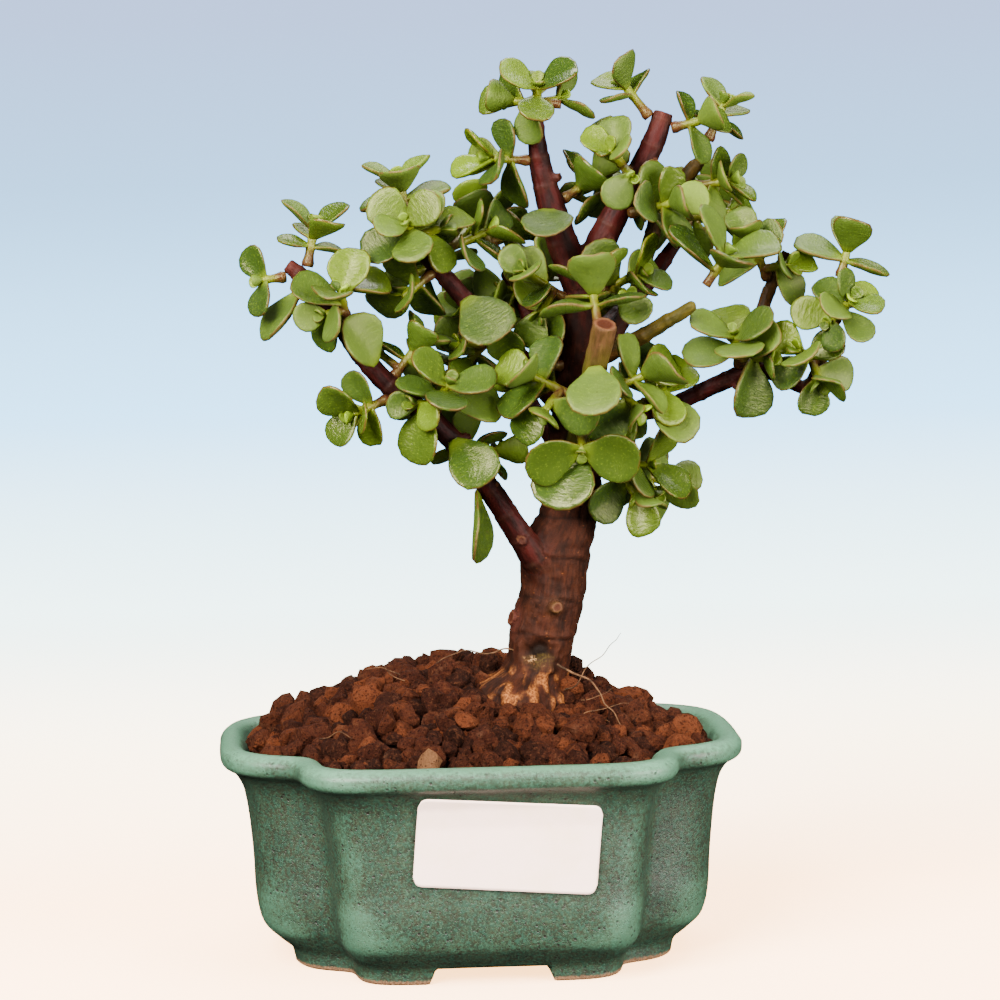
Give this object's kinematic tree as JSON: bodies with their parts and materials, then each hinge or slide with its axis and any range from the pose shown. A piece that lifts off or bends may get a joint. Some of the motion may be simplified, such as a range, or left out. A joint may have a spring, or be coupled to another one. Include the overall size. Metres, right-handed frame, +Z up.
{
  "type": "dwarf jade bonsai",
  "caption": "Dwarf jade grown as a small bonsai: thick reddish trunk and limbs with fleshy round leaves, rooted in granular clay soil in a glazed lobed pot on short feet.",
  "frame": {"origin": "middle of the bounding box, on the surface under the feet of the pot", "axes": "+Z up, -Y the front with the label, +X to the right seen from the front"},
  "size_m": [0.1912, 0.13, 0.2559],
  "materials": {
    "glaze": "satin",
    "drain_mesh": "matte",
    "label_paper": "satin",
    "akadama": "matte",
    "bark": "matte",
    "leaf": "satin"
  },
  "bodies": {
    "root": {"pot": "glaze", "drain_screen": "drain_mesh", "label": "label_paper", "soil": "akadama", "trunk_and_branches": "bark", "left_branch_shoot_1": "leaf", "left_branch_shoot_2": "leaf", "left_branch_shoot_3": "leaf", "left_branch_shoot_4": "leaf", "left_branch_shoot_5": "leaf", "left_branch_shoot_6": "leaf", "left_branch_shoot_7": "leaf", "left_branch_shoot_8": "leaf", "left_branch_shoot_9": "leaf", "left_branch_shoot_10": "leaf", "left_branch_shoot_11": "leaf", "left_branch_shoot_12": "leaf", "left_branch_shoot_13": "leaf", "upper_left_branch_shoot_1": "leaf", "upper_left_branch_shoot_2": "leaf", "upper_left_branch_shoot_3": "leaf", "upper_left_branch_shoot_4": "leaf", "upper_left_branch_shoot_5": "leaf", "upper_left_branch_shoot_6": "leaf", "upper_left_branch_shoot_7": "leaf", "rear_left_branch_shoot_1": "leaf", "rear_left_branch_shoot_2": "leaf", "front_stem_shoot_1": "leaf", "front_stem_shoot_2": "leaf", "front_stem_shoot_3": "leaf", "front_stem_shoot_4": "leaf", "front_stem_shoot_5": "leaf", "front_stem_shoot_6": "leaf", "red_stem_shoot_1": "leaf", "trunk_shoot_1": "leaf", "trunk_shoot_2": "leaf", "trunk_shoot_3": "leaf", "trunk_shoot_4": "leaf", "trunk_shoot_5": "leaf", "low_back_branch_shoot_1": "leaf", "left_fork_shoot_1": "leaf", "left_fork_shoot_2": "leaf", "left_fork_shoot_3": "leaf", "left_fork_shoot_4": "leaf", "right_fork_shoot_1": "leaf", "right_fork_shoot_2": "leaf", "right_fork_shoot_3": "leaf", "right_fork_shoot_4": "leaf", "right_fork_shoot_5": "leaf", "rear_right_branch_shoot_1": "leaf", "rear_right_branch_shoot_2": "leaf", "rear_right_branch_shoot_3": "leaf", "back_branch_shoot_1": "leaf", "right_tip_shoot_1": "leaf", "right_tip_shoot_2": "leaf", "right_tip_shoot_3": "leaf", "right_branch_shoot_1": "leaf", "right_branch_shoot_2": "leaf", "right_riser_shoot_1": "leaf", "low_right_branch_shoot_1": "leaf"}
  },
  "joints": []
}
